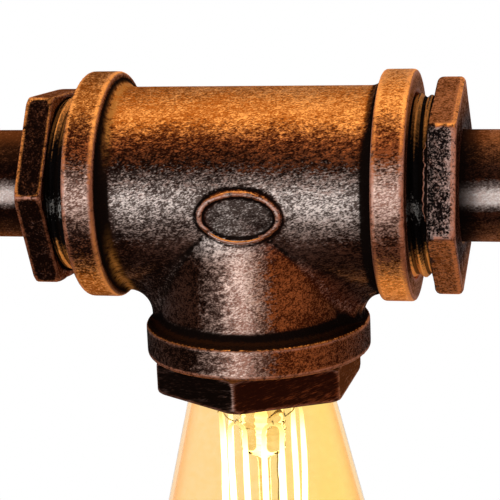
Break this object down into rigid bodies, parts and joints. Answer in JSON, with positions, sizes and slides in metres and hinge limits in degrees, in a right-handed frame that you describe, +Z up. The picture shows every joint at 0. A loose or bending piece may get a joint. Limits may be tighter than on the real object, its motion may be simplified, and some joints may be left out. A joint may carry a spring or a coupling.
{
  "type": "pipe wall light",
  "caption": "Industrial wall light of black iron pipe with copper highlights: a banded tee on a pipe rail carries a tilting lamp holder and a teardrop filament bulb.",
  "frame": {"origin": "on the wall plane, midway between the two wall flanges, at the height of the pipe run", "axes": "+X along the pipe run to the viewer's right, +Y into the wall, +Z up"},
  "size_m": [0.42, 0.142, 0.193],
  "materials": {
    "iron": "satin",
    "pipe": "satin",
    "porcelain": "gloss",
    "brass": "satin",
    "zinc_steel": "satin",
    "live_insulation": "matte",
    "neutral_insulation": "matte",
    "cable_sheath": "matte",
    "grommet_rubber": "matte",
    "black_glass": "gloss",
    "bulb_glass": "gloss",
    "stem_glass": "gloss",
    "filament": "satin"
  },
  "bodies": {
    "wall_frame": {"left_flange": "iron", "right_flange": "iron", "left_wall_nipple": "pipe", "right_wall_nipple": "pipe", "left_elbow": "iron", "right_elbow": "iron", "left_arm_pipe": "pipe", "right_arm_pipe": "pipe", "supply_cable": "cable_sheath", "arm_grommet": "grommet_rubber", "entry_grommet": "grommet_rubber"},
    "lamp_head": {"tee": "iron", "left_bushing": "iron", "right_bushing": "iron", "lamp_bushing": "iron", "holder_body": "porcelain", "holder_shell": "brass", "holder_tongue": "brass", "live_terminal": "brass", "neutral_terminal": "brass", "terminal_screws": "zinc_steel", "live_lead": "live_insulation", "neutral_lead": "neutral_insulation", "cable_tail": "cable_sheath"},
    "bulb_tip": {"bulb_contact": "zinc_steel", "bulb_insulator": "black_glass"},
    "bulb": {"bulb_cap": "brass", "bulb_glass": "bulb_glass", "bulb_stem": "stem_glass", "bulb_leads": "zinc_steel", "bulb_supports": "zinc_steel", "bulb_filament": "filament"}
  },
  "joints": [
    {"name": "lamp_tilt", "type": "hinge", "parent": "wall_frame", "child": "lamp_head", "pos_m": [0, -0.11, 0], "axis": [1, 0, 0], "range_deg": [-90, 30]},
    {"name": "bulb_travel", "type": "slide", "parent": "lamp_head", "child": "bulb_tip", "axis": [0, 0, -1], "range_m": [0, 0.0109]},
    {"name": "bulb_turn", "type": "hinge", "parent": "bulb_tip", "child": "bulb", "pos_m": [0, -0.11, 0], "axis": [0, 0, -1], "range_deg": [0, 1080]}
  ],
  "couplings": [
    {"joint": "bulb_travel", "follows": "bulb_turn", "m_per_rad": 0.00057757}
  ]
}
